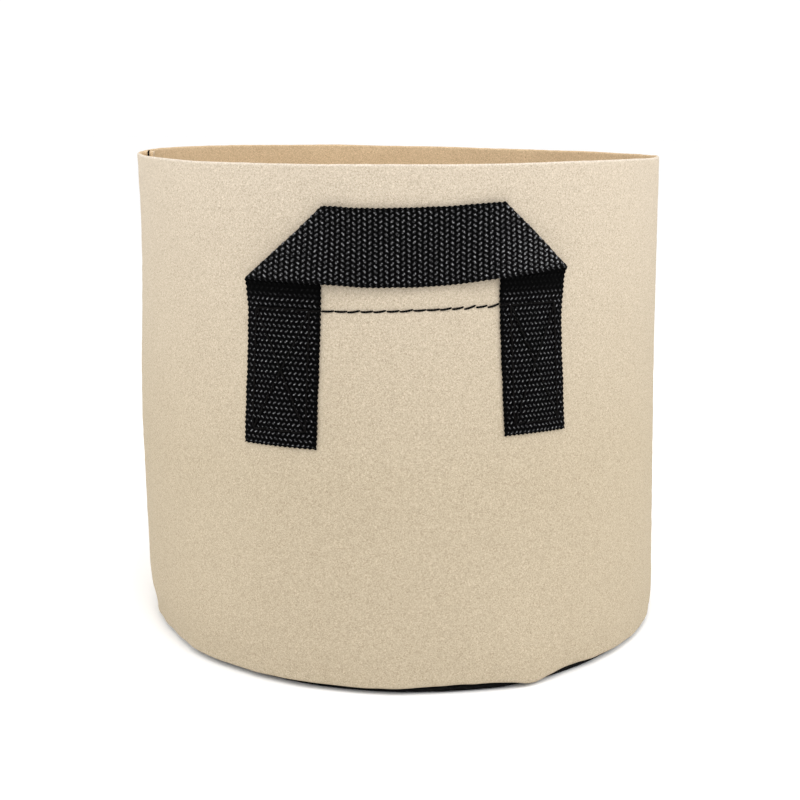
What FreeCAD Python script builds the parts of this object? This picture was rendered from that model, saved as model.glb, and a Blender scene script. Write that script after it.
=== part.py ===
import FreeCAD, Part
import math
import os

# Fabric grow bag, about 19 litres: a felt wall rolled into a tube and closed by one side seam, a felt
# base disc sewn in with its seam turned inside, and two handles of 38 mm webbing sewn on the outside.
# Millimetres. +Z is up, -Y is the front, and the origin is the middle of the underside.

# ---- driving dimensions ----
BAG_RADIUS = 150.0          # outside of the wall
BAG_HEIGHT = 270.0
FELT = 2.0                  # thickness of the wall and of the base
SEAM_ALLOWANCE = 8.0        # cloth beyond a seam, turned inside
SEAM_STITCH_INSET = 5.2     # from the outside of the fold to the row of stitches
SEAM_GAP = 0.3              # between the two ends of the wall, face to face in the side seam
FIN_LIFT = 0.5              # between the base seam's edge and the foot of the side seam's fins
BASE_CORNER = 3.0           # rounding of the base where it turns up to its seam
WALL_FOLD = 1.0             # rounding of the wall where it turns in to the base seam

WEBBING_WIDTH = 38.0
WEBBING = 1.5               # thickness of the handle webbing
LEG_GAP = 94.0              # between the two legs of a handle, along the wall
LEG_BOTTOM_Z = 132.0
GRIP_TOP_Z = 251.0
GRIP_CLEARANCE = 0.4        # between the free part of a handle and the wall

STITCH_TOP_Z = 199.4        # the row that closes both boxes and crosses the wall between the legs
STITCH_BOTTOM_Z = 140.0
STITCH_MARGIN = 5.5         # from a leg's edges to the side rows of its box
HINGE_ABOVE_STITCH = 2.6    # the webbing bends here, just above the top row
HINGE_SPLIT = 2.0           # opening between the sewn and the free webbing, around the bend

THREAD = 0.8                # width of a row of stitches
THREAD_PROUD = 0.4          # how far a thread stands out of the cloth
THREAD_BED = 0.2            # how far it is pulled into the cloth

# ---- worked out ----
WALL_INNER = BAG_RADIUS - FELT
LEG_MID_RADIUS = BAG_RADIUS + WEBBING / 2
LEG_INNER_ANGLE = math.degrees(LEG_GAP / 2 / LEG_MID_RADIUS)
LEG_OUTER_ANGLE = math.degrees((LEG_GAP / 2 + WEBBING_WIDTH) / LEG_MID_RADIUS)
LEG_MID_ANGLE = (LEG_INNER_ANGLE + LEG_OUTER_ANGLE) / 2
GRIP_BOTTOM_Z = GRIP_TOP_Z - WEBBING_WIDTH
HINGE_Z = STITCH_TOP_Z + HINGE_ABOVE_STITCH
HINGE_Y = -(BAG_RADIUS + WEBBING) * math.cos(math.radians(LEG_INNER_ANGLE))
LEG_TOP_Z = HINGE_Z - HINGE_SPLIT / 2
FREE_BOTTOM_Z = HINGE_Z + HINGE_SPLIT / 2
FOLD_TURN = math.sqrt(0.5)  # both components of a direction at 45 degrees
SEAM_FOOT_Z = BASE_CORNER   # height of the line where wall and base meet

AXIS_UP = FreeCAD.Vector(0, 0, 1)
CENTRE = FreeCAD.Vector(0, 0, 0)


def at(radius, height):
    """A point of a profile in the plane y = 0, for turning about the bag's axis."""
    return FreeCAD.Vector(radius, 0, height)


def turned(edges, start_angle=0.0, sweep=360.0):
    """A closed profile turned about +Z; an angle of 0 is the front, and positive goes towards +X."""
    profile = Part.Face(Part.Wire(edges))
    profile.rotate(CENTRE, AXIS_UP, start_angle - 90)
    return profile.revolve(CENTRE, AXIS_UP, sweep)


def polygon(points):
    """The straight edges of a closed outline."""
    return Part.makePolygon(points + points[:1]).Edges


def shell_patch(inner, outer, angle_from, angle_to, low, high):
    """A piece of a cylindrical layer around the bag."""
    corners = [at(inner, low), at(outer, low), at(outer, high), at(inner, high)]
    return turned(polygon(corners), angle_from, angle_to - angle_from)


def save(node, shapes):
    """Writes one node, as one solid or as a group of separate solids."""
    solids = [solid for shape in shapes for solid in shape.Solids]
    for solid in solids:
        if not solid.isValid():
            raise ValueError(node + " has a bad solid")
    shape = solids[0] if len(solids) == 1 else Part.makeCompound(solids)
    shape.exportStep("parts/" + node + ".step")
    box = shape.BoundBox
    print("%-28s solids %2d  volume %9.1f mm3  z %.2f to %.2f"
          % (node, len(solids), shape.Volume, box.ZMin, box.ZMax))


# ---- the felt ----
def wall_panel():
    """The wall: a tube with its lower edge turned in at 45 degrees and its two ends turned in as fins."""
    reach = SEAM_ALLOWANCE * FOLD_TURN
    thick = FELT * FOLD_TURN
    setback = WALL_FOLD / math.tan(math.radians(22.5))
    fold_start = at(BAG_RADIUS, SEAM_FOOT_Z + setback)
    fold_end = at(BAG_RADIUS - setback * FOLD_TURN, SEAM_FOOT_Z + setback * FOLD_TURN)
    fold_middle = at(BAG_RADIUS - WALL_FOLD + WALL_FOLD * math.cos(math.radians(67.5)),
                     SEAM_FOOT_Z + setback - WALL_FOLD * math.sin(math.radians(67.5)))
    flap_edge_low = at(BAG_RADIUS - reach, SEAM_FOOT_Z + reach)
    flap_edge_high = flap_edge_low + FreeCAD.Vector(thick, 0, thick)
    flap_root = at(WALL_INNER, SEAM_FOOT_Z + FELT + 2 * thick)
    outline = Part.makePolygon([
        fold_end, flap_edge_low, flap_edge_high, flap_root,
        at(WALL_INNER, BAG_HEIGHT), at(BAG_RADIUS, BAG_HEIGHT), fold_start,
    ]).Edges
    outline.append(Part.Arc(fold_start, fold_middle, fold_end).toShape())
    wall = turned(Part.sortEdges(outline)[0])

    fin_low = flap_edge_high.z + FIN_LIFT
    for side in (-1, 1):
        near = side * SEAM_GAP / 2
        far = near + side * FELT
        fin = Part.makeBox(SEAM_ALLOWANCE - FELT / 2, FELT, BAG_HEIGHT - fin_low,
                           FreeCAD.Vector(FELT / 2 - BAG_RADIUS, min(near, far), fin_low))
        wall = wall.fuse(fin)
    seam = Part.makeBox(3 * SEAM_ALLOWANCE, SEAM_GAP, 2 * BAG_HEIGHT,
                        FreeCAD.Vector(-BAG_RADIUS - SEAM_ALLOWANCE, -SEAM_GAP / 2, -BAG_HEIGHT / 2))
    return wall.cut(seam).removeSplitter()


def base_panel():
    """The base: a disc whose rim rounds up to the seam and turns in under the wall's own edge."""
    reach = SEAM_ALLOWANCE * FOLD_TURN
    thick = FELT * FOLD_TURN
    corner_start = at(BAG_RADIUS - BASE_CORNER, 0)
    corner_end = at(BAG_RADIUS, BASE_CORNER)
    corner_middle = at(BAG_RADIUS - BASE_CORNER + BASE_CORNER * FOLD_TURN,
                       BASE_CORNER - BASE_CORNER * FOLD_TURN)
    flap_edge_high = at(BAG_RADIUS - reach, SEAM_FOOT_Z + reach)
    flap_edge_low = flap_edge_high - FreeCAD.Vector(thick, 0, thick)
    flap_root = at(flap_edge_low.x + flap_edge_low.z - FELT, FELT)
    outline = Part.makePolygon([
        corner_end, flap_edge_high, flap_edge_low, flap_root, at(0, FELT), at(0, 0), corner_start,
    ]).Edges
    outline.append(Part.Arc(corner_start, corner_middle, corner_end).toShape())
    return turned(Part.sortEdges(outline)[0])


# ---- the seams' threads ----
def base_seam_ring(on_wall_side):
    """A row of stitches round the turned-in base seam, on the wall's edge or on the base's edge."""
    along = SEAM_STITCH_INSET * FOLD_TURN
    half = THREAD / 2 * FOLD_TURN
    side = 1 if on_wall_side else -1
    face = at(BAG_RADIUS - along + side * FELT * FOLD_TURN, SEAM_FOOT_Z + along + side * FELT * FOLD_TURN)
    outward = FreeCAD.Vector(side * FOLD_TURN, 0, side * FOLD_TURN)
    across = FreeCAD.Vector(-half, 0, half)
    deep = face - outward * THREAD_BED
    proud = face + outward * THREAD_PROUD
    return turned(polygon([deep - across, proud - across, proud + across, deep + across]))


def side_seam_row(side):
    """A row of stitches down one face of the side seam's fins."""
    face = side * (SEAM_GAP / 2 + FELT)
    deep = face - side * THREAD_BED
    proud = face + side * THREAD_PROUD
    low = SEAM_FOOT_Z + SEAM_ALLOWANCE + FELT
    return Part.makeBox(THREAD, THREAD_BED + THREAD_PROUD, BAG_HEIGHT - FELT - low,
                        FreeCAD.Vector(SEAM_STITCH_INSET - BAG_RADIUS, min(deep, proud), low))


# ---- the handles ----
def leg(side):
    """The sewn part of one leg, flat on the wall."""
    angles = sorted((side * LEG_INNER_ANGLE, side * LEG_OUTER_ANGLE))
    return shell_patch(BAG_RADIUS, BAG_RADIUS + WEBBING, angles[0], angles[1], LEG_BOTTOM_Z, LEG_TOP_Z)


def grip():
    """The free part of a handle: two leg tops, each folded over at 45 degrees into the band between them."""
    under = BAG_RADIUS + GRIP_CLEARANCE
    middle = under + WEBBING
    outer = middle + WEBBING
    band = shell_patch(middle, outer, -LEG_OUTER_ANGLE, LEG_OUTER_ANGLE, GRIP_BOTTOM_Z, GRIP_TOP_Z)
    tops = [
        shell_patch(under, middle, -LEG_OUTER_ANGLE, -LEG_INNER_ANGLE, FREE_BOTTOM_Z, GRIP_TOP_Z),
        shell_patch(under, middle, LEG_INNER_ANGLE, LEG_OUTER_ANGLE, FREE_BOTTOM_Z, GRIP_TOP_Z),
    ]
    whole = band.multiFuse(tops)
    tip_x = outer * math.sin(math.radians(LEG_OUTER_ANGLE))
    shoulder_x = outer * math.sin(math.radians(LEG_INNER_ANGLE))
    for side in (-1, 1):
        corner = Part.Face(Part.makePolygon([
            FreeCAD.Vector(side * tip_x, -2 * BAG_RADIUS, GRIP_BOTTOM_Z),
            FreeCAD.Vector(side * shoulder_x, -2 * BAG_RADIUS, GRIP_TOP_Z),
            FreeCAD.Vector(side * shoulder_x, -2 * BAG_RADIUS, GRIP_TOP_Z + WEBBING_WIDTH),
            FreeCAD.Vector(side * 2 * tip_x, -2 * BAG_RADIUS, GRIP_TOP_Z + WEBBING_WIDTH),
            FreeCAD.Vector(side * 2 * tip_x, -2 * BAG_RADIUS, GRIP_BOTTOM_Z),
            FreeCAD.Vector(side * tip_x, -2 * BAG_RADIUS, GRIP_BOTTOM_Z),
        ]))
        whole = whole.cut(corner.extrude(FreeCAD.Vector(0, 2 * BAG_RADIUS, 0)))
    return whole.removeSplitter()


def strip(start, end, depth):
    """A straight row of stitches in the plane of a leg, as a bar reaching right through the cloth."""
    across = end[0] - start[0]
    rise = end[1] - start[1]
    bar = Part.makeBox(math.hypot(across, rise) + THREAD, depth, THREAD,
                       FreeCAD.Vector(-THREAD / 2, -depth / 2, -THREAD / 2))
    bar.rotate(CENTRE, FreeCAD.Vector(0, -1, 0), math.degrees(math.atan2(rise, across)))
    bar.translate(FreeCAD.Vector(start[0], 0, start[1]))
    return bar


def leg_stitches(side, face, outward):
    """The box with a cross in it that holds one leg, on the face of the cloth at that radius."""
    half = WEBBING_WIDTH / 2 - STITCH_MARGIN
    inner = half + STITCH_MARGIN
    low_left = (-half, STITCH_BOTTOM_Z)
    low_right = (half, STITCH_BOTTOM_Z)
    top_left = (-half, STITCH_TOP_Z)
    top_right = (half, STITCH_TOP_Z)
    to_middle = (-side * inner, STITCH_TOP_Z)
    rows = [
        (low_left, low_right), (low_right, top_right), (top_right, top_left), (top_left, low_left),
        (low_left, top_right), (top_left, low_right), ((side * half, STITCH_TOP_Z), to_middle),
    ]
    bars = [strip(start, end, 2 * WEBBING_WIDTH) for start, end in rows]
    pattern = bars[0].multiFuse(bars[1:])
    pattern.translate(FreeCAD.Vector(0, -BAG_RADIUS, 0))
    pattern.rotate(CENTRE, AXIS_UP, side * LEG_MID_ANGLE)
    radii = sorted((face - outward * THREAD_BED, face + outward * THREAD_PROUD))
    angles = sorted((side * LEG_INNER_ANGLE, side * LEG_OUTER_ANGLE))
    layer = shell_patch(radii[0], radii[1], angles[0], angles[1], LEG_BOTTOM_Z, BAG_HEIGHT)
    return pattern.common(layer)


def cross_row(face, outward):
    """The row of stitches over the bare wall between the two legs."""
    radii = sorted((face - outward * THREAD_BED, face + outward * THREAD_PROUD))
    return shell_patch(radii[0], radii[1], -LEG_INNER_ANGLE, LEG_INNER_ANGLE,
                       STITCH_TOP_Z - THREAD / 2, STITCH_TOP_Z + THREAD / 2)


def handle(name, turn):
    """All the nodes of one handle, turned about the bag's axis to the side it is sewn to."""
    outside = BAG_RADIUS + WEBBING
    needle = [leg_stitches(-1, outside, 1), cross_row(BAG_RADIUS, 1), leg_stitches(1, outside, 1)]
    bobbin = [leg_stitches(-1, WALL_INNER, -1).multiFuse([cross_row(WALL_INNER, -1),
                                                          leg_stitches(1, WALL_INNER, -1)])]
    nodes = {
        "left_leg": [leg(-1)],
        "right_leg": [leg(1)],
        "grip": [grip()],
        "needle_thread": needle,
        "bobbin_thread": bobbin,
    }
    for part, shapes in nodes.items():
        for shape in shapes:
            shape.rotate(CENTRE, AXIS_UP, turn)
        save(name + "_" + part, shapes)


os.makedirs("parts", exist_ok=True)
save("wall_panel", [wall_panel()])
save("base_panel", [base_panel()])
save("side_seam_needle_thread", [side_seam_row(1)])
save("side_seam_bobbin_thread", [side_seam_row(-1)])
save("base_seam_needle_thread", [base_seam_ring(True)])
save("base_seam_bobbin_thread", [base_seam_ring(False)])
handle("front_strap", 0)
handle("rear_strap", 180)
print("hinge line of the front handle: y %.2f, z %.2f; the rear one is opposite" % (HINGE_Y, HINGE_Z))
cut_length = 2 * (GRIP_TOP_Z - WEBBING_WIDTH / 2 - LEG_BOTTOM_Z) + LEG_GAP + WEBBING_WIDTH
print("cut length of each strap %.0f mm" % cut_length)
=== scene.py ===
import math

import bmesh
import bpy
import numpy as np
from mathutils import Matrix, Vector


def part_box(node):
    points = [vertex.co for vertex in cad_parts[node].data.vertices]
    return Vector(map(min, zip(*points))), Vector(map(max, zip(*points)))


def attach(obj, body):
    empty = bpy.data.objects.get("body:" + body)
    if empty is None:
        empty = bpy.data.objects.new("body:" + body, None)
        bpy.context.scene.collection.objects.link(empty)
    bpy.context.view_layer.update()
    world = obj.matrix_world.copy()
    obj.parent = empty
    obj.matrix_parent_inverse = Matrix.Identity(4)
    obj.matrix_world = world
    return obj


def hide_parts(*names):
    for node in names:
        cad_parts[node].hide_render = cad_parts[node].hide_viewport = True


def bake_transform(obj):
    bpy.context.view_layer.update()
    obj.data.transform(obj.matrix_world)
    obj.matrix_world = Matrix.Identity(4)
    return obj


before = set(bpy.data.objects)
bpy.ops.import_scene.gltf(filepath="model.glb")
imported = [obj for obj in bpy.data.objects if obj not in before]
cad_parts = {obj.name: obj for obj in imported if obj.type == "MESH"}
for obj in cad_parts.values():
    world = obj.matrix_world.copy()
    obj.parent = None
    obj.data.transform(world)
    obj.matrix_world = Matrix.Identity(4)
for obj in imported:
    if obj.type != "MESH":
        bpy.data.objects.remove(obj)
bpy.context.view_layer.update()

# Fabric grow bag: a tan felt wall with one side seam, a black felt base whose seam is turned
# inside, and two webbing handles, each sewn to the wall by its two legs and folded at 45 degrees
# into a grip band. Shapes are worked out in millimetres, and made into meshes in metres. A "turn"
# is the angle round the bag, in radians: 0 is the front (-Y), and it grows towards +X.

# ---- taken from the frame ----
MM = 0.001
wall_low, wall_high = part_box("wall_panel")
leg_low, leg_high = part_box("front_strap_left_leg")
RADIUS = (wall_high.x - wall_low.x) / 2 / MM
HEIGHT = wall_high.z / MM

# ---- driving dimensions, in mm ----
FELT = 2.0
SEAM_ALLOWANCE = 8.0
SEAM_STITCH_INSET = 5.2     # the side seam's stitches, in from the wall's outer face
SEAM_GAP = 0.3              # between the two turned-in ends of the wall
HEM_FOLD_Z = 5.3            # the wall starts to turn in here, above its lowest point
FOLD_RADIUS = 1.15          # of the middle of the felt, where wall and base turn in
BASE_EDGE = 5.0             # the base starts to turn up this far inside the wall's face
FLAP = 7.0                  # straight part of each turned-in edge
FLAP_ROWS = 5               # mesh rows along it
TURN_IN = math.radians(135)      # how far wall and base turn, from their own run to the seam
THIN_EDGE = 0.4             # the felt's thickness at a cut edge, as a share of the whole
FIN_FOOT = 12.0             # lower end of the side seam's turned-in ends
LEAN = 0.0163               # the empty bag leans to the left by this much for each mm up
PLAN_SWELL = 1.6            # the rim is a little egg-shaped
SEAM_SIDE_BELLY = 4.9       # the wall stands out over its lower part, more on the seam's side
FAR_SIDE_BELLY = 3.4

WEBBING_WIDTH = 38.0
WEBBING = 1.5               # thickness
LEG_MID = RADIUS * (math.asin(-leg_high.x / MM / RADIUS)
                    + math.asin(-leg_low.x / MM / (RADIUS + WEBBING))) / 2
LEG_TOP = LEG_MID - 2.5     # each leg's middle at its top; its foot stands wider
LEG_SPLAY = 0.04            # mm wider for each mm down
SPLAY_TOP_Z = 205.0         # above here the legs run straight up
LEG_LAYER = WEBBING / 2 - 0.15   # the middle of a sewn leg, outside the wall's face
TIGHT_ROLL = 0.9            # radius of the fold at its tight end
STITCH_MARGIN = 5.5         # from the webbing's edge to the rows of stitches
STITCH = 6.5                # length of one stitch
THREAD = 0.50               # radius of the thread
ROOT = math.sqrt(0.5)       # the folds and the turned-in edges lie at 45 degrees


# ---- fields and meshes ----
def wander(points, size, seed, waves=18):
    """A smooth random field of about -1 to 1, whose lumps are about size apart."""
    source = np.random.RandomState(seed)
    heading = source.normal(size=(waves, 3))
    heading /= np.linalg.norm(heading, axis=1)[:, None]
    pace = 2 * np.pi / size * source.uniform(0.7, 1.3, waves)
    phase = source.uniform(0, 2 * np.pi, waves)
    total = np.zeros(points.shape[:-1])
    for k in range(waves):
        total += np.cos(points @ heading[k] * pace[k] + phase[k])
    return total / (1.5 * math.sqrt(waves / 2))


def ease(x, low, high):
    """0 below low, 1 above high, and smooth between."""
    x = np.clip((x - low) / (high - low), 0, 1)
    return x * x * (3 - 2 * x)


def hump(x, middle, width):
    """A smooth bump, 1 at its middle."""
    return np.exp(-((x - middle) / width) ** 2)


def nearest_turn(turn):
    """The same turn, brought to between -pi and pi."""
    return np.arctan2(np.sin(turn), np.cos(turn))


def ring_points(turn, height):
    """Points of the bag's plain cylinder, as places to read a random field at."""
    return np.stack([RADIUS * np.sin(turn), -RADIUS * np.cos(turn), height], -1)


def hem_drop(turn):
    """How far the wall's lower fold hangs below its seam, in mm: least at the front, where the base
    shows, but for one low pucker there."""
    turn = nearest_turn(turn)
    spot = ring_points(turn, np.zeros_like(turn))
    drop = 1.55 + 0.7 * wander(spot, 75, 11) + 0.22 * wander(spot, 24, 12)
    front = np.exp(-((turn - 0.14) / 0.80) ** 6)
    raised = 1.6 * hump(turn, 0.20, 0.20) + 0.9 * hump(turn, 0.62, 0.12)
    drop = drop * (1 - front) + front * (0.45 - raised + 0.10 * wander(spot, 24, 12))
    return np.clip(drop + 2.3 * hump(turn, 0.435, 0.065), -1.3, 2.7)


def hem_bulge(turn):
    """How far the foot of the bag stands out at its two squarer corners, in mm."""
    turn = nearest_turn(turn)
    return 3.0 * hump(turn, 0.38, 0.16) + 2.2 * hump(turn, -0.82, 0.14)


def foot_tuck(seam_side):
    """How far the wall draws in at its very foot, in mm: most on the seam's side."""
    return 0.6 + 3.6 * seam_side ** 3


def wall_at(turn, height, out):
    """Points of the wall, out mm outside its outer face, with the bag's slump, lean and puckers."""
    turn, height, out = [np.asarray(v, float) for v in np.broadcast_arrays(turn, height, out)]
    spot = ring_points(turn, height)
    up = np.clip(height / HEIGHT, 0, 1)
    egg = np.cos(3 * (turn - np.pi / 2)) - np.sin(turn)
    radius = RADIUS + out + PLAN_SWELL * (0.2 + 0.8 * up) * egg
    seam_side = (1 - np.sin(turn)) / 2
    radius += seam_side * SEAM_SIDE_BELLY * (1 - ease(height, 110, 240))
    radius += (1 - seam_side) * FAR_SIDE_BELLY * (1 - ease(height, 10, 195))
    radius += 0.6 * ease(height, 0, 60) * wander(spot * (1, 1, 0.5), 120, 3)
    low = 1 - ease(height, 4, 34)
    radius += 0.32 * low * wander(spot * (1, 1, 0.25), 17, 5) - foot_tuck(seam_side) * low ** 2
    radius += hem_bulge(turn) * (1 - ease(height, 0, 55))
    x = radius * np.sin(turn) - LEAN * height
    z = height + 0.9 * up ** 5 * np.sin(2 * turn) * (1 - 0.35 * seam_side ** 2)
    return np.stack([x, -radius * np.cos(turn), z], -1)


def mesh_object(name, points, faces, **values):
    """A smooth-shaded object from points in mm, with its faces turned outwards, and values at each
    point for its material to read."""
    mesh = bpy.data.meshes.new(name)
    mesh.from_pydata((np.asarray(points).reshape(-1, 3) * MM).tolist(), [], faces)
    for key, value in values.items():
        attribute = mesh.attributes.new(key, "FLOAT", "POINT")
        attribute.data.foreach_set("value", np.asarray(value, np.float32))
    shape = bmesh.new()
    shape.from_mesh(mesh)
    bmesh.ops.delete(shape, geom=[v for v in shape.verts if not v.link_faces], context="VERTS")
    bmesh.ops.recalc_face_normals(shape, faces=shape.faces)
    shape.to_mesh(mesh)
    shape.free()
    mesh.polygons.foreach_set("use_smooth", [True] * len(mesh.polygons))
    obj = bpy.data.objects.new(name, mesh)
    bpy.context.scene.collection.objects.link(obj)
    return obj


def shell_faces(cloth):
    """Faces of a closed shell over a grid of cells, where cloth says which cells are there.

    The near grid's points come first, then the far grid's. The edges of the cloth are closed
    between them.
    """
    rows, columns = cloth.shape[0] + 1, cloth.shape[1] + 1
    far = rows * columns
    index = np.arange(far).reshape(rows, columns)
    faces = []
    for r, c in np.argwhere(cloth):
        loop = (index[r, c], index[r, c + 1], index[r + 1, c + 1], index[r + 1, c])
        faces.append([int(v) for v in loop])
        faces.append([int(v) + far for v in reversed(loop)])
        beside = ((r - 1, c), (r, c + 1), (r + 1, c), (r, c - 1))
        for k, (rr, cc) in enumerate(beside):
            if 0 <= rr < rows - 1 and 0 <= cc < columns - 1 and cloth[rr, cc]:
                continue
            a, b = int(loop[k]), int(loop[(k + 1) % 4])
            faces.append([b, a, a + far, b + far])
    return faces


# ---- the felt wall ----
def wall_plan():
    """The wall seen from above: (x, y) of the middle of the felt, the direction of its outer face,
    and how many columns each turned-in end has."""
    middle = RADIUS - FELT / 2
    face = SEAM_GAP / 2 + FELT / 2
    fin = np.linspace(RADIUS - SEAM_ALLOWANCE, middle - FOLD_RADIUS, 5)
    half = [[(-x, -face), (0, 1)] for x in fin[:-1]]
    for angle in np.radians(np.linspace(90, 180, 6)):
        heading = (math.cos(angle), math.sin(angle))
        half.append([(-middle + FOLD_RADIUS + FOLD_RADIUS * heading[0],
                      -face - FOLD_RADIUS + FOLD_RADIUS * heading[1]), heading])
    start = (face + FOLD_RADIUS) / middle
    around = np.linspace(start, 2 * np.pi - start, 352)[1:-1] - np.pi / 2
    circle = [[(middle * math.sin(t), -middle * math.cos(t)), (math.sin(t), -math.cos(t))]
              for t in around]
    other = [[(p[0], -p[1]), (n[0], -n[1])] for p, n in reversed(half)]
    plan = np.array(half + circle + other)
    return plan[:, 0], plan[:, 1], len(half)


def wall_profile():
    """Rows of the wall from the rim down and into its turned-in edge.

    Each row is (distance outside the wall's outer face, height, the direction of the outer face
    across and up, half thickness, weight of the hem's drop).
    """
    heights = np.concatenate([
        HEIGHT - np.array([0.0, 0.25, 0.6, 1.1, 1.8, 3.0]),
        np.linspace(HEIGHT - 6, 208, 20), np.linspace(207, 194, 15), np.linspace(191, 40, 46),
        np.linspace(37, 14, 11), np.linspace(12, 6.4, 6),
    ])
    rows = []
    for z in heights:
        from_rim = HEIGHT - z
        half = FELT / 2 * math.sqrt(max(0.08, 1 - max(0.0, 1 - from_rim) ** 2))
        rows.append((-FELT / 2, z, 1.0, 0.0, half, 1 - float(ease(z, HEM_FOLD_Z, 26))))
    for angle in np.linspace(0, -TURN_IN, 10):
        across, rise = math.cos(angle), math.sin(angle)
        rows.append((FOLD_RADIUS * across - FELT / 2 - FOLD_RADIUS, HEM_FOLD_Z + FOLD_RADIUS * rise,
                     across, rise, FELT / 2, 1.0))
    last = rows[-1]
    for along in np.linspace(0, FLAP, FLAP_ROWS + 1)[1:]:
        half = FELT / 2 * (THIN_EDGE if along == FLAP else 1.0)
        rows.append((last[0] - ROOT * along, last[1] + ROOT * along, -ROOT, -ROOT, half,
                     1 - along / FLAP))
    return np.array(rows)


def close_ends(turn, start):
    """The turn of points below FIN_FOOT, where the two ends of the wall come together."""
    away = np.mod(turn + np.pi / 2, 2 * np.pi)
    near = np.minimum(away, 2 * np.pi - away)
    closing = (start - SEAM_GAP / 2 / RADIUS) * hump(near, start, 0.04)
    return turn - np.where(away < np.pi, closing, -closing)


def felt_wall():
    """The wall: one strip of felt, its lower edge and its two ends turned in."""
    middle, facing, fin_columns = wall_plan()
    profile = wall_profile()
    ends_start = (SEAM_GAP / 2 + FELT / 2 + FOLD_RADIUS) / (RADIUS - FELT / 2)
    sides = []
    for side in (1, -1):
        out, z, across, rise, half, hem = profile.T
        depth = FELT / 2 + out + side * half * across
        place = middle[None] + facing[None] * depth[:, None, None]
        # the turned-in edge leans towards the bag's axis, whatever way the plan's column faces
        turn = np.arctan2(place[..., 0], -place[..., 1])
        radial = np.hypot(place[..., 0], place[..., 1]) - RADIUS
        turn = np.where(z[:, None] < FIN_FOOT, close_ends(turn, ends_start), turn)
        drop = hem_drop(turn) * hem[:, None]
        spot = ring_points(turn, z[:, None] + 0 * turn)
        rim = hump(z, HEIGHT, 3.0)[:, None]
        height = (z + side * half * rise)[:, None] - drop
        height = height + rim * (0.22 * wander(spot, 60, 21) + 0.06 * wander(spot, 9, 22))
        radial = radial + 0.3 * drop + 0.10 * wander(spot, 11, 23) + 0.06 * wander(spot, 6.5, 24)
        radial = radial + 0.12 * rim * wander(spot, 24, 25)
        radial = radial - side * stitch_dimple(turn, height)
        sides.append(wall_at(turn, height, radial))
    rows, columns = sides[0].shape[:2]
    cloth = np.ones((rows - 1, columns - 1), bool)
    below = profile[1:, 1] < FIN_FOOT
    cloth[np.ix_(below, np.r_[0:fin_columns - 1, columns - fin_columns:columns - 1])] = False
    points = np.concatenate([s.reshape(-1, 3) for s in sides])
    inside = np.repeat([0.0, 1.0], rows * columns)
    # painted highlight: the outer side of the rim's top cut edge is marked, to be tinted paler
    lip = np.repeat(1 - ease(HEIGHT - profile[:, 1], 0.4, 1.3), columns)
    lip = np.concatenate([lip, 0 * lip])
    return mesh_object("felt_wall", points, shell_faces(cloth), inside=inside, lip=lip)


# ---- the felt base ----
def base_profile(reach):
    """(radius, height, direction of the underside across and up) of the middle of the base felt,
    reach mm from its centre along the cloth."""
    flat = RADIUS - BASE_EDGE
    arc = FOLD_RADIUS * TURN_IN
    angle = np.clip((reach - flat) / FOLD_RADIUS, 0, TURN_IN) - np.pi / 2
    radius = np.minimum(reach, flat) + FOLD_RADIUS * np.cos(angle)
    height = FELT / 2 + FOLD_RADIUS + FOLD_RADIUS * np.sin(angle)
    beyond = np.maximum(reach - flat - arc, 0)
    return radius - ROOT * beyond, height + ROOT * beyond, np.cos(angle), np.sin(angle)


def felt_base():
    """The base: one disc of felt whose rim rounds up and turns in, without a pole in the middle."""
    flat = RADIUS - BASE_EDGE
    arc = FOLD_RADIUS * TURN_IN
    reaches = np.concatenate([
        np.linspace(0, flat - 8, 44), flat - np.array([6, 4, 2.5, 1.2]),
        flat + np.linspace(0, arc, 9), flat + arc + np.linspace(1.5, FLAP, 4),
    ])
    steps = len(reaches) - 1
    i, j = np.meshgrid(np.arange(-steps, steps + 1), np.arange(-steps, steps + 1), indexing="ij")
    ring = np.maximum(np.abs(i), np.abs(j))
    safe = np.maximum(ring, 1)
    lead = np.abs(i) >= np.abs(j)
    # each square ring of the grid becomes a round one: two quarters led by i, and two by j
    by_i = np.pi / 4 * j / safe * np.sign(i + (i == 0)) + np.where(i < 0, np.pi, 0)
    by_j = np.where(j > 0, 1, -1) * (np.pi / 2 - np.pi / 4 * i / safe)
    turn = np.where(lead, by_i, by_j)
    radius, height, across, rise = base_profile(reaches[ring])
    drop = hem_drop(turn)
    edge = ease(reaches[ring], flat - 10, flat)
    points = []
    for side in (1, -1):
        half = FELT / 2 * np.where(ring == steps, THIN_EDGE, 1.0)
        r = radius + side * half * across
        z = height + side * half * rise
        spot = np.stack([r * np.sin(turn), -r * np.cos(turn), 0 * r], -1)
        lumps = 0.12 + 0.12 * wander(spot, 38, 31) + 0.05 * wander(spot, 9, 32)
        z = z + np.maximum(lumps, 0) * (1 - edge)
        seam_side = (1 - np.sin(turn)) / 2
        belly = seam_side * SEAM_SIDE_BELLY + (1 - seam_side) * FAR_SIDE_BELLY
        share = r / RADIUS
        r = r + (belly - foot_tuck(seam_side)) * share + hem_bulge(turn) * share ** 8
        r = r - 0.36 * drop * edge + 0.2 * edge * wander(spot, 30, 33)
        place = np.stack([r * np.sin(turn), -r * np.cos(turn), np.maximum(z, 0)], -1)
        points.append(place.reshape(-1, 3))
    cloth = np.ones((2 * steps, 2 * steps), bool)
    return mesh_object("felt_base", np.concatenate(points), shell_faces(cloth),
                       inside=np.repeat([0.0, 1.0], len(points[0])))


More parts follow.
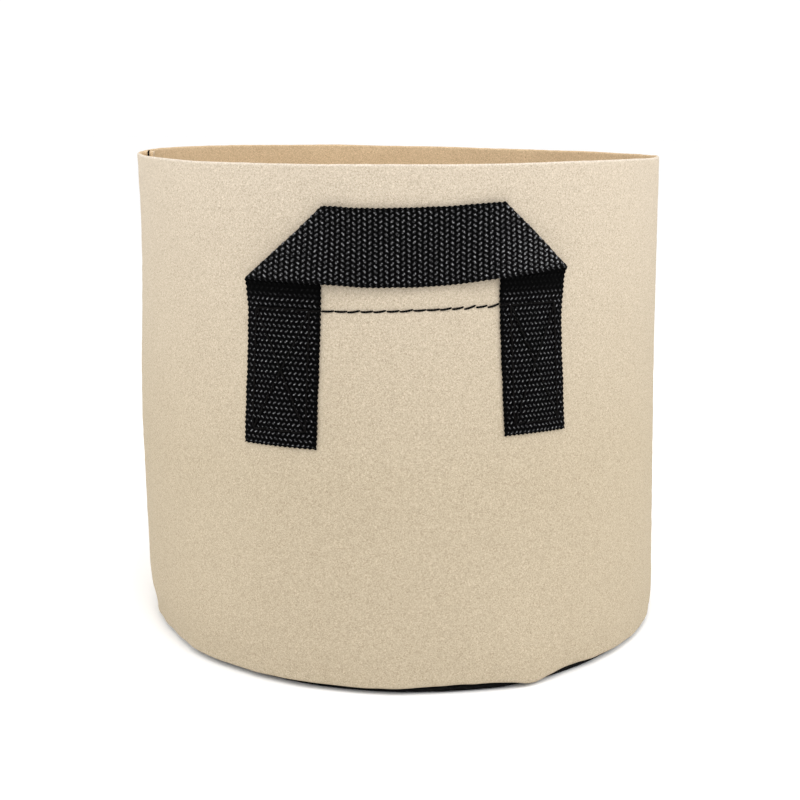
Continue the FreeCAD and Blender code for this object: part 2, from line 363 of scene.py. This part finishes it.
# ---- the handles ----
class Handle:
    """Where one handle lies, and how its folds roll.

    ends, folds, tops, bottoms and rolls are (left, right): the heights of each leg's cut end, of
    its fold, and of the top and bottom row of its stitches, and the fold's radius at its loose end.
    shift, skew, flare and tuck are small sideways differences between the two halves.
    """

    def __init__(self, name, body, turn, ends, folds, tops, bottoms, rolls, shift, skew, flare,
                 tuck, seed):
        self.name, self.body, self.seed = name, body, seed
        self.turn = turn + shift / RADIUS
        self.ends, self.folds, self.tops, self.bottoms = ends, folds, tops, bottoms
        self.rolls, self.skew, self.flare, self.tuck = rolls, skew, flare, tuck
        turned = LEG_TOP + math.pi * TIGHT_ROLL * ROOT
        self.split = folds[0] - ends[0] + turned
        self.length = self.split + folds[1] - ends[1] + turned

    def leg_line(self, side, w, z):
        """Distance along the wall, from the handle's middle, of a point w in from the leg's."""
        return side * (LEG_TOP + LEG_SPLAY * max(0, SPLAY_TOP_Z - z) - w)

    def turn_at(self, line):
        """The turn round the bag at a distance along the wall from the handle's middle."""
        return self.turn + (line + self.skew * (1 - (line / LEG_MID) ** 2)) / RADIUS

    def place(self, w, t, lift):
        """Points of the strap: w across it (+ is a leg's inner edge and the band's top edge), t
        along it, lift from its middle towards the face that shows on the legs."""
        w, t, lift = [np.asarray(v, float) for v in np.broadcast_arrays(w, t, lift)]
        right = t > self.split
        k = right.astype(int)
        side = np.where(right, 1, -1)
        along = np.where(right, self.length - t, t)
        fold_z, end_z = np.array(self.folds)[k], np.array(self.ends)[k]
        # a runs along the fold's line and d across it: the strap turns over where d passes 0
        rise = along - (fold_z - end_z)
        top = WEBBING_WIDTH * ROOT
        a = (w + rise) * ROOT
        d = (rise - w) * ROOT
        loose = np.clip((top - a) / (2 * top), 0, 1.3)
        roll = TIGHT_ROLL + (np.array(self.rolls)[k] - TIGHT_ROLL) * loose ** 1.7
        angle = np.clip(d / roll, 0, np.pi)
        reach = np.pi * roll
        p = np.where(d < 0, d, np.where(d < reach, (roll - lift) * np.sin(angle), reach - d))
        out = np.where(d < 0, lift, np.where(d < reach, roll - (roll - lift) * np.cos(angle),
                                             2 * roll - lift))
        inward, up = (a - p) * ROOT, (a + p) * ROOT
        height = fold_z + up
        splay = LEG_SPLAY * np.maximum(0, SPLAY_TOP_Z - end_z - along)
        line = side * (LEG_TOP + splay - inward)
        share = ease(t, self.split - 30, self.length - self.folds[1] + self.ends[1])
        base_z = self.folds[0] + (self.folds[1] - self.folds[0]) * share
        height = height - fold_z + base_z
        line = line + self.flare * ease(height, 207, 238) * ease(line, 12, 60)
        line = line + self.tuck * ease(height, 214, 244) * ease(-line, 12, 50)
        # each fold's outer tip stands out a little
        tip = hump(height, self.folds[0] - 18, 7.0) * ease(np.abs(line), 62, 80)
        line = line + 0.8 * np.sign(line) * tip
        # the middle of the band sags, and lies nearer the wall
        middle = ease(d, 4, 12) * (1 - ease(np.abs(line), 12, 50))
        out = out - 1.1 * middle
        height = height - 0.8 * middle
        # the legs' outer edges draw in below the fold
        curl = ease(np.abs(line), 68, 81) * (1 - ease(height, 190, 208))
        line = line - 0.8 * np.sign(line) * curl
        free = ease(height, 200, 214)
        spot = np.stack([line, 0 * line, height + 400 * (d > 0)], -1)
        out = out + LEG_LAYER + free * (0.35 + 0.25 * wander(spot, 60, self.seed))
        return wall_at(self.turn_at(line), height, out)

    def stitch_rows(self):
        """A box with a cross on each leg: rows of (start, end), each (side, w, z)."""
        rows = []
        half = WEBBING_WIDTH / 2 - STITCH_MARGIN
        for side in (-1, 1):
            k = int(side > 0)
            low, high = self.bottoms[k], self.tops[k]
            corners = [(-half, low), (half, low), (half, high), (-half, high)]
            for n in range(4):
                rows.append([(side,) + corners[n], (side,) + corners[(n + 1) % 4]])
            rows.append([(side,) + corners[0], (side,) + corners[2]])
            rows.append([(side,) + corners[1], (side,) + corners[3]])
        return rows

    def cross_height(self, line):
        """Height of the row across the bare wall."""
        share = (line + LEG_MID) / (2 * LEG_MID)
        return self.tops[0] + (self.tops[1] - self.tops[0]) * ease(share, 0.1, 1.0)

    def dents(self, w, t):
        """How far the stitches pull the webbing in, in mm, over the legs."""
        right = t > self.split
        along = np.where(right, self.length - t, t)
        height = np.where(right, self.ends[1], self.ends[0]) + along
        pull = np.zeros_like(w)
        for start, end in self.stitch_rows():
            same = (start[0] > 0) == right
            line = np.array(end[1:]) - np.array(start[1:])
            share = ((w - start[1]) * line[0] + (height - start[2]) * line[1]) / (line @ line)
            share = np.clip(share, 0, 1)
            gap = np.hypot(w - start[1] - share * line[0], height - start[2] - share * line[1])
            pull = np.maximum(pull, same * np.exp(-gap ** 2))
        return pull


handles = [
    Handle("front_strap", "front_handle", 0.0, ends=(130.0, 135.8), folds=(229.3, 231.3),
           tops=(199.2, 202.0), bottoms=(138.4, 141.6), rolls=(1.5, 4.0),
           shift=1.1, skew=1.0, flare=2.8, tuck=1.4, seed=41),
    Handle("rear_strap", "rear_handle", math.pi, ends=(131.0, 133.5), folds=(230.4, 229.2),
           tops=(200.2, 199.6), bottoms=(139.2, 140.6), rolls=(2.6, 1.7),
           shift=-0.5, skew=0.0, flare=0.8, tuck=0.4, seed=42),
]


def stitch_dimple(turn, height):
    """How far a row across the bare wall pulls the felt in, in mm."""
    pull = 0
    for handle in handles:
        line = nearest_turn(turn - handle.turn) * RADIUS
        bare = 1 - ease(np.abs(line), LEG_MID - 6, LEG_MID + 6)
        pull = pull + 0.42 * bare * hump(height, handle.cross_height(line), 1.2)
    return pull


CROWNS_ACROSS = 15
CROWN = WEBBING_WIDTH / CROWNS_ACROSS   # spacing of the weave's crowns across the webbing
PICK = 2.6                  # and along it
CELLS = 5                   # mesh cells to one crown, each way


def weave(w, t):
    """Relief of the webbing, 0 in the gaps to 1 on the crowns: staggered rows of short slanted
    strokes, with a corded edge."""
    row = np.floor(t / PICK)
    odd = row % 2
    along = 2 * (t / PICK - row) - 1
    across = (w + WEBBING_WIDTH / 2) / CROWN + 0.5 * odd
    across = 2 * (across - np.floor(across)) - 1
    slant = np.where(odd > 0, -1.0, 1.0)
    long_way = (0.75 * across + slant * 0.65 * along) / 0.99
    short_way = (0.65 * across - slant * 0.75 * along) / 0.99
    crown = np.exp(-(long_way / 1.08) ** 4 - (short_way / 0.62) ** 2)
    edge = ease(np.abs(w), WEBBING_WIDTH / 2 - 1.7, WEBBING_WIDTH / 2 - 1.1)
    cord = 0.5 + 0.5 * np.cos(2 * np.pi * t / PICK + 1.6 * w)
    return crown * (1 - edge) + 0.72 * cord * edge


def webbing_strap(handle):
    """One handle: a single length of webbing with its weave, edges, folds and stitched-in dents."""
    columns = CROWNS_ACROSS * CELLS
    across = np.linspace(-WEBBING_WIDTH / 2, WEBBING_WIDTH / 2, columns + 1)
    count = int(round(handle.length / (PICK / CELLS)))
    along = np.linspace(0, handle.length, count + 1)
    w, t = np.meshgrid(across, along, indexing="xy")
    pull = handle.dents(w, t)
    end = np.minimum(t, handle.length - t)
    melted = 1 - ease(end, 0.3, 1.1)
    ragged = 0.30 * np.cos(2 * np.pi * w / CROWN + 1.0) * (1 - ease(end, 0.0, 2.5))
    t = t + ragged * np.where(t > handle.split, -1, 1)
    border = ease(np.abs(w), WEBBING_WIDTH / 2 - 1.5, WEBBING_WIDTH / 2)
    half = (WEBBING / 2 - 0.22) * (1 - 0.45 * border ** 2) * (1 - 0.25 * (1 - ease(end, 0, 0.7)))
    spot = np.stack([w, t, 0 * w], -1)
    uneven = 1 + 0.25 * wander(spot, 9, handle.seed + 10)
    edge_line = 0.12 * wander(np.stack([np.sign(w) * 60, t, 0 * w], -1), 17, handle.seed + 20)
    edge_line += 0.24 * np.sign(w) * np.cos(2 * np.pi * t / PICK)
    # painted highlight: the outside of each fold is made brighter, the right one most;
    # painted shade: each leg is made darker just below its fold, with sparser bright crowns
    rises = np.array(handle.folds) - np.array(handle.ends)
    painted_fold_highlight = 0.90 + 0.05 * hump(t, rises[0], 22) + 0.17 * hump(t, handle.length - rises[1], 24)
    visible = np.where(t > handle.split, rises[1], rises[0]) - WEBBING_WIDTH / 2 - end
    on_leg = ease(visible, -14, -6)
    painted_shade_under_fold = 0.93 * (0.5 + 0.5 * ease(visible, 0, 7)) * on_leg + 0.90 * (1 - on_leg)
    faces, tops = [], []
    for side in (1, -1):
        relief = weave(w, t if side > 0 else t + PICK) * (1 - 0.8 * melted)
        # these crown values carry the painted fold highlight and the painted shade under the fold
        # into the colour
        tops.append(relief ** (1 + 0.7 * on_leg) * painted_shade_under_fold if side > 0 else relief * painted_fold_highlight)
        lift = side * (half + 0.42 * relief * uneven - 0.22 * pull)
        faces.append(handle.place(w + edge_line * border, t, lift))
    points = np.concatenate([f.reshape(-1, 3) for f in faces])
    # the crown values go to the material, which paints them as highlights
    strap = mesh_object(handle.name, points, shell_faces(np.ones((count, columns), bool)),
                        crown=np.concatenate([v.ravel() for v in tops]))
    # the cloth laid flat, its two faces side by side, for the material's grain
    mesh = strap.data
    flat = np.concatenate([spot.reshape(-1, 3)[:, :2]] * 2) * MM
    flat[len(flat) // 2:, 0] += 2 * WEBBING_WIDTH * MM
    layer = mesh.uv_layers.new(name="flat_cloth")
    corners = np.zeros(len(mesh.loops), np.int32)
    mesh.loops.foreach_get("vertex_index", corners)
    layer.data.foreach_set("uv", flat[corners].astype(np.float32).ravel())
    return strap


# ---- the threads ----
def stitch_line(name, rows, seed):
    """Lockstitches along rows, each (length, place): place(along, aside, lift) gives points."""
    source = np.random.RandomState(seed)
    points, faces = [], []
    sides, steps = 8, 11
    ring = np.linspace(0, 2 * np.pi, sides, endpoint=False)
    for length, place in rows:
        count = max(1, int(round(length / STITCH)))
        holes = np.linspace(0, length, count + 1)
        holes[1:-1] += source.normal(0, 0.18, count - 1)
        lean = 0.28 + 0.22 * source.normal(size=count)
        height = 0.20 + 0.05 * source.normal(size=count)
        for n in range(count):
            share = np.linspace(0, 1, steps)
            along = holes[n] + (holes[n + 1] - holes[n]) * share
            arch = np.sin(np.pi * share) ** 0.25
            aside = lean[n] * (2 * share - 1) - 0.22 * np.sin(np.pi * share)
            lift = -0.30 + (0.30 + height[n]) * arch
            spine = place(along, aside, lift)
            outward = place(along, aside, lift + 0.5) - spine
            outward /= np.linalg.norm(outward, axis=1)[:, None]
            ahead = np.gradient(spine, axis=0)
            ahead /= np.linalg.norm(ahead, axis=1)[:, None]
            beside = np.cross(ahead, outward)
            twist = 1 + 0.13 * np.cos(2 * ring[None] - 4.2 * along[:, None] + n)
            size = THREAD * twist[..., None] * (0.75 + 0.25 * arch)[:, None, None]
            loops = spine[:, None] + size * (0.85 * np.cos(ring)[None, :, None] * outward[:, None]
                                             + 1.05 * np.sin(ring)[None, :, None] * beside[:, None])
            first = sum(len(p) for p in points)
            points.append(loops.reshape(-1, 3))
            for s in range(steps - 1):
                for r in range(sides):
                    a, b = first + s * sides + r, first + s * sides + (r + 1) % sides
                    faces.append([a, b, b + sides, a + sides])
            faces.append([first + r for r in reversed(range(sides))])
            faces.append([first + (steps - 1) * sides + r for r in range(sides)])
    return mesh_object(name, np.concatenate(points), faces)


def handle_rows(handle, outside):
    """The rows of one handle, on the outside of the cloth or on the inside of the wall."""
    sign = 1 if outside else -1
    leg_face = LEG_LAYER + WEBBING / 2 - 0.1 if outside else -FELT
    wall_face = -0.25 if outside else -FELT + 0.25

    def row(start, end):
        begin = np.array([float(handle.leg_line(*start)), start[2]])
        finish = np.array([float(handle.leg_line(*end)), end[2]])
        length = float(np.hypot(*(finish - begin)))
        heading = (finish - begin) / length

        def place(along, aside, lift):
            line = begin[0] + heading[0] * along - heading[1] * aside
            height = begin[1] + heading[1] * along + heading[0] * aside
            return wall_at(handle.turn_at(line), height, leg_face + sign * lift)
        return length, place

    rows = [row(start, end) for start, end in handle.stitch_rows()]
    half = WEBBING_WIDTH / 2 - STITCH_MARGIN
    for side, top in zip((-1, 1), handle.tops):
        rows.append(row((side, half, top), (side, WEBBING_WIDTH / 2 + 0.4, top)))
    left = float(handle.leg_line(-1, WEBBING_WIDTH / 2, handle.tops[0]))
    right = float(handle.leg_line(1, WEBBING_WIDTH / 2, handle.tops[1]))

    def cross(along, aside, lift):
        line = left + along
        height = handle.cross_height(line) + aside
        return wall_at(handle.turn_at(line), height, wall_face + sign * lift)
    rows.append((right - left, cross))
    return rows


def side_seam_row(side):
    """The row up one face of the side seam's turned-in ends, and over the rim to their middle."""
    half = SEAM_GAP / 2 + FELT
    start = FIN_FOOT + 2
    straight = HEIGHT - start

    def place(along, aside, lift):
        over = np.maximum(along - straight, 0)
        x = -RADIUS + SEAM_STITCH_INSET + aside + 0 * along
        y = side * np.where(over > 0, half - over, half + lift)
        height = start + np.minimum(along, straight) + np.where(over > 0, lift, 0)
        return wall_at(np.arctan2(x, -y), height, np.hypot(x, y) - RADIUS)
    return straight + half, place


def base_seam_row(on_wall_side):
    """The row round the turned-in base seam, on the wall's edge or on the base's."""
    last = wall_profile()[-FLAP_ROWS - 1]
    radius = RADIUS + last[0]

    def place(along, aside, lift):
        turn = along / radius
        shift = FLAP / 2 + aside
        # measured from the middle of the wall's edge: its inner face is half a felt one way, and
        # the base's inner face one and a half the other way
        deep = FELT / 2 + lift if on_wall_side else -FELT - (FELT / 2 + lift)
        out = last[0] - ROOT * shift + ROOT * deep
        height = last[1] + ROOT * shift + ROOT * deep - 0.5 * hem_drop(turn)
        return wall_at(turn, height, out)
    return 2 * math.pi * radius, place


# ---- materials ----
def node_kit(name):
    """A new material with its shader: (material, add a node, join two sockets, the shader)."""
    material = bpy.data.materials.new(name)
    material.use_nodes = True
    tree = material.node_tree
    shader = tree.nodes["Principled BSDF"]

    def add(kind, **settings):
        node = tree.nodes.new("ShaderNode" + kind)
        for key, value in settings.items():
            if key in node.inputs:
                node.inputs[key].default_value = value
            else:
                setattr(node, key, value)
        return node
    return material, add, tree.links.new, shader


def colour_ramp(add, stops):
    """A colour ramp through (place, colour) stops."""
    ramp = add("ValToRGB")
    points = ramp.color_ramp.elements
    for k, (place, colour) in enumerate(stops):
        stop = points[k] if k < 2 else points.new(place)
        stop.position = place
        stop.color = (*colour, 1)
    return ramp


def tinted(add, join, colour, tint, share=1.0):
    """The colour socket multiplied by tint, a socket or (r, g, b), as far as share says."""
    mix = add("Mix", data_type="RGBA", blend_type="MULTIPLY")
    join(colour, mix.inputs["A"])
    if isinstance(tint, tuple):
        mix.inputs["B"].default_value = (*tint, 1)
    else:
        join(tint, mix.inputs["B"])
    if isinstance(share, float):
        mix.inputs["Factor"].default_value = share
    else:
        join(share, mix.inputs["Factor"])
    return mix.outputs["Result"]


def felt_material(name, dark, middle, light, foot=(1, 1, 1), inner=(1, 1, 1), lip=(1, 1, 1),
                  specular=0.15):
    """Needle-punched felt: matted fibres and soft mottling.

    foot darkens its lower part, a painted shade; inner warms its inner face, a painted bounce
    light;
    and lip pales its top edge, a painted highlight.
    """
    material, add, join, shader = node_kit(name)
    place = add("TexCoord").outputs["Object"]
    grain = add("TexNoise", Scale=1500.0, Detail=4.0, Roughness=0.7, Distortion=1.0)
    patch = add("TexNoise", Scale=210.0, Detail=3.0, Roughness=0.5)
    tone = add("TexNoise", Scale=14.0, Detail=2.0, Roughness=0.5)
    for node in (grain, patch, tone):
        join(place, node.inputs["Vector"])
    mix = add("Mix", data_type="RGBA", blend_type="SOFT_LIGHT")
    mix.inputs["Factor"].default_value = 0.8
    ramp = colour_ramp(add, [(0.33, dark), (0.68, light), (0.5, middle)])
    join(grain.outputs["Fac"], ramp.inputs["Fac"])
    shade = colour_ramp(add, [(0.25, (0.46, 0.46, 0.46)), (0.75, (0.54, 0.54, 0.54))])
    add_up = add("Math", operation="ADD")
    half = add("Math", operation="MULTIPLY")
    half.inputs[1].default_value = 0.5
    join(patch.outputs["Fac"], add_up.inputs[0])
    join(tone.outputs["Fac"], add_up.inputs[1])
    join(add_up.outputs[0], half.inputs[0])
    join(half.outputs[0], shade.inputs["Fac"])
    join(ramp.outputs["Color"], mix.inputs["A"])
    join(shade.outputs["Color"], mix.inputs["B"])
    rise = add("SeparateXYZ")
    join(place, rise.inputs[0])
    share = add("MapRange")
    share.inputs["From Max"].default_value = HEIGHT * MM
    join(rise.outputs["Z"], share.inputs["Value"])
    # painted shade: below about two fifths of the height the felt is tinted darker, fading to none
    # at the rim
    painted_height_shade = colour_ramp(add, [(0.0, foot), (1.0, (1.0, 1.0, 1.0)), (0.42, foot)])
    join(share.outputs["Result"], painted_height_shade.inputs["Fac"])
    colour = tinted(add, join, mix.outputs["Result"], painted_height_shade.outputs["Color"])
    # painted light: the inner face's tint is a painted warm bounce light, and the rim's a painted
    # highlight on its cut edge
    for part, tint in (("inside", inner), ("lip", lip)):
        where = add("Attribute", attribute_name=part).outputs["Fac"]
        colour = tinted(add, join, colour, tint, where)
    join(colour, shader.inputs["Base Color"])
    bump = add("Bump", Strength=0.75, Distance=0.0005)
    join(grain.outputs["Fac"], bump.inputs["Height"])
    soft = add("Bump", Strength=0.15, Distance=0.0010)
    join(patch.outputs["Fac"], soft.inputs["Height"])
    join(soft.outputs["Normal"], bump.inputs["Normal"])
    join(bump.outputs["Normal"], shader.inputs["Normal"])
    shader.inputs["Roughness"].default_value = 0.95
    shader.inputs["Specular IOR Level"].default_value = specular
    return material


def webbing_material():
    """Black polypropylene webbing: dark gaps, and crowns of fine filaments with a painted
    highlight.
    """
    material, add, join, shader = node_kit("webbing")
    flat = add("UVMap", uv_map="flat_cloth").outputs["UV"]
    crown = add("Attribute", attribute_name="crown")
    grain = add("TexNoise", Scale=2600.0, Detail=2.0, Roughness=0.5)
    patch = add("TexNoise", Scale=1350.0, Detail=2.0, Roughness=0.6)
    join(flat, grain.inputs["Vector"])
    join(flat, patch.inputs["Vector"])
    # painted highlight: the crowns get a bright base colour for their gloss, and the gaps stay near
    # black
    ramp = colour_ramp(add, [(0.25, (0.0005, 0.0005, 0.0006)), (1.0, (0.40, 0.40, 0.41)),
                             (0.58, (0.019, 0.019, 0.0196))])
    join(crown.outputs["Fac"], ramp.inputs["Fac"])
    # painted highlight: noise patches make the crowns' painted gloss stronger or weaker
    painted_highlight_patches = colour_ramp(add, [(0.38, (0.03, 0.03, 0.03)), (0.64, (1.0, 1.0, 1.0)),
                              (0.5, (0.24, 0.24, 0.24))])
    join(patch.outputs["Fac"], painted_highlight_patches.inputs["Fac"])
    colour = tinted(add, join, ramp.outputs["Color"], painted_highlight_patches.outputs["Color"])
    join(colour, shader.inputs["Base Color"])
    rough = add("MapRange")
    join(patch.outputs["Fac"], rough.inputs["Value"])
    rough.inputs["To Min"].default_value = 0.34
    rough.inputs["To Max"].default_value = 0.62
    join(rough.outputs["Result"], shader.inputs["Roughness"])
    bump = add("Bump", Strength=0.5, Distance=0.0003)
    join(grain.outputs["Fac"], bump.inputs["Height"])
    join(bump.outputs["Normal"], shader.inputs["Normal"])
    shader.inputs["Specular IOR Level"].default_value = 0.02
    return material


def thread_material():
    """Black polyester sewing thread."""
    material, add, join, shader = node_kit("sewing_thread")
    place = add("TexCoord").outputs["Object"]
    fibre = add("TexNoise", Scale=3200.0, Detail=3.0, Roughness=0.6)
    join(place, fibre.inputs["Vector"])
    ramp = colour_ramp(add, [(0.3, (0.0012, 0.001, 0.001)), (0.75, (0.006, 0.0055, 0.005))])
    join(fibre.outputs["Fac"], ramp.inputs["Fac"])
    join(ramp.outputs["Color"], shader.inputs["Base Color"])
    bump = add("Bump", Strength=0.4, Distance=0.0001)
    join(fibre.outputs["Fac"], bump.inputs["Height"])
    join(bump.outputs["Normal"], shader.inputs["Normal"])
    shader.inputs["Roughness"].default_value = 0.6
    shader.inputs["Specular IOR Level"].default_value = 0.03
    return material


# The tan felt's tints are painted light: foot darkens the lower wall (painted shade), inner warms
# its inner face (painted bounce light), and lip pales the rim's cut edge (painted highlight).
tan_felt = felt_material(
    "tan_felt", dark=(0.335, 0.277, 0.205), middle=(0.515, 0.441, 0.345),
    light=(0.695, 0.608, 0.491), foot=(0.86, 0.84, 0.77), inner=(1.14, 0.99, 0.79),
    lip=(1.14, 1.17, 1.24))
# The black felt is darker than real black felt, a painted shade for its strip in the hem's shade;
# inner lifts its upper face back towards the felt's own black.
black_felt = felt_material(
    "black_felt", dark=(0.0008, 0.0008, 0.0008), middle=(0.0045, 0.0045, 0.0048),
    light=(0.018, 0.018, 0.018), inner=(4.2, 4.2, 4.2), specular=0.02)
webbing = webbing_material()
black_thread = thread_material()


def finish_piece(obj, material, replaced, body=None):
    """Gives a piece its material and body, and hides the CAD nodes that it stands for."""
    obj.data.materials.append(material)
    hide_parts(*replaced)
    if body:
        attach(obj, body)
    return obj


wall = finish_piece(felt_wall(), tan_felt, ["wall_panel"], "bag")
base = finish_piece(felt_base(), black_felt, ["base_panel"], "bag")

for handle in handles:
    strap = webbing_strap(handle)
    finish_piece(strap, webbing,
                 [handle.name + "_left_leg", handle.name + "_right_leg", handle.name + "_grip"])
    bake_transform(strap)
    for outside, kind in ((True, "needle"), (False, "bobbin")):
        name = handle.name + "_" + kind
        thread = stitch_line(name + "_stitches", handle_rows(handle, outside),
                             handle.seed + (30 if outside else 40))
        finish_piece(thread, black_thread, [name + "_thread"], "bag")

for name, row, seed in (
        ("side_seam_needle", side_seam_row(1), 81),
        ("side_seam_bobbin", side_seam_row(-1), 82),
        ("base_seam_needle", base_seam_row(True), 83),
        ("base_seam_bobbin", base_seam_row(False), 84)):
    thread = stitch_line(name + "_stitches", [row], seed)
    finish_piece(thread, black_thread, [name + "_thread"], "bag")


# ---- floor, light and camera ----
FLOOR_HALF = 12             # m
FLOOR_DROP = 0.0004         # the floor lies this far under the bag, so that their faces don't meet
floor_mesh = bpy.data.meshes.new("floor")
floor_mesh.from_pydata([(x * FLOOR_HALF, y * FLOOR_HALF, 0)
                        for x, y in ((-1, -1), (1, -1), (1, 1), (-1, 1))], [], [(0, 1, 2, 3)])
floor = bpy.data.objects.new("floor", floor_mesh)
bpy.context.scene.collection.objects.link(floor)
floor.location.z = -FLOOR_DROP
pale, _, _, shader = node_kit("floor_paper")
shader.inputs["Base Color"].default_value = (0.93, 0.93, 0.93, 1)
shader.inputs["Roughness"].default_value = 0.9
shader.inputs["Specular IOR Level"].default_value = 0.0
floor.data.materials.append(pale)

world = bpy.data.worlds.new("studio")
bpy.context.scene.world = world
world.use_nodes = True
background = world.node_tree.nodes["Background"]
background.inputs["Color"].default_value = (1, 1, 1, 1)
background.inputs["Strength"].default_value = 1.08


def soft_light(name, place, target, size, power):
    """A square softbox, size m across, of power W."""
    light = bpy.data.lights.new(name, "AREA")
    light.size = size
    light.energy = power
    lamp = bpy.data.objects.new(name, light)
    bpy.context.scene.collection.objects.link(lamp)
    lamp.location = place
    lamp.rotation_euler = (Vector(target) - Vector(place)).to_track_quat("-Z", "Y").to_euler()


soft_light("top", (0.05, -0.50, 0.92), (0, -0.1, 0.2), 0.45, 2.8)
soft_light("right", (1.0, -0.42, 0.75), (0, 0, 0.2), 0.6, 5.2)
soft_light("left", (-1.0, -0.38, 0.7), (0, 0, 0.18), 0.6, 4.2)

# the camera stands to the left of the handle's middle, above the rim, and looks down a little
CAMERA_TURN = math.radians(-1.98)
CAMERA_DISTANCE = 0.7787    # from the bag's axis, in m
CAMERA_HEIGHT = 0.2973
LOOK_TURN = math.radians(1.8)
LOOK_DOWN = 0.2215          # in radians, as the roll
ROLL = 0.0089
SENSOR = 36                 # mm, as the lens
LENS = 58.9
scene_camera = bpy.data.cameras.new("camera")
scene_camera.sensor_width = SENSOR
scene_camera.lens = LENS
scene_camera.clip_start = 0.02
scene_camera.clip_end = 60
camera = bpy.data.objects.new("camera", scene_camera)
bpy.context.scene.collection.objects.link(camera)
ahead = Vector((math.sin(LOOK_TURN) * math.cos(LOOK_DOWN),
                math.cos(LOOK_TURN) * math.cos(LOOK_DOWN), -math.sin(LOOK_DOWN)))
right = Vector((math.cos(LOOK_TURN), -math.sin(LOOK_TURN), 0))
above = right.cross(ahead)
tilted_right = right * math.cos(ROLL) + above * math.sin(ROLL)
tilted_up = above * math.cos(ROLL) - right * math.sin(ROLL)
stand = (CAMERA_DISTANCE * math.sin(CAMERA_TURN), -CAMERA_DISTANCE * math.cos(CAMERA_TURN),
         CAMERA_HEIGHT)
turned = Matrix((tilted_right, tilted_up, -ahead)).transposed().to_4x4()
camera.matrix_world = Matrix.Translation(stand) @ turned
bpy.context.scene.camera = camera
bpy.context.scene.view_settings.view_transform = "Standard"
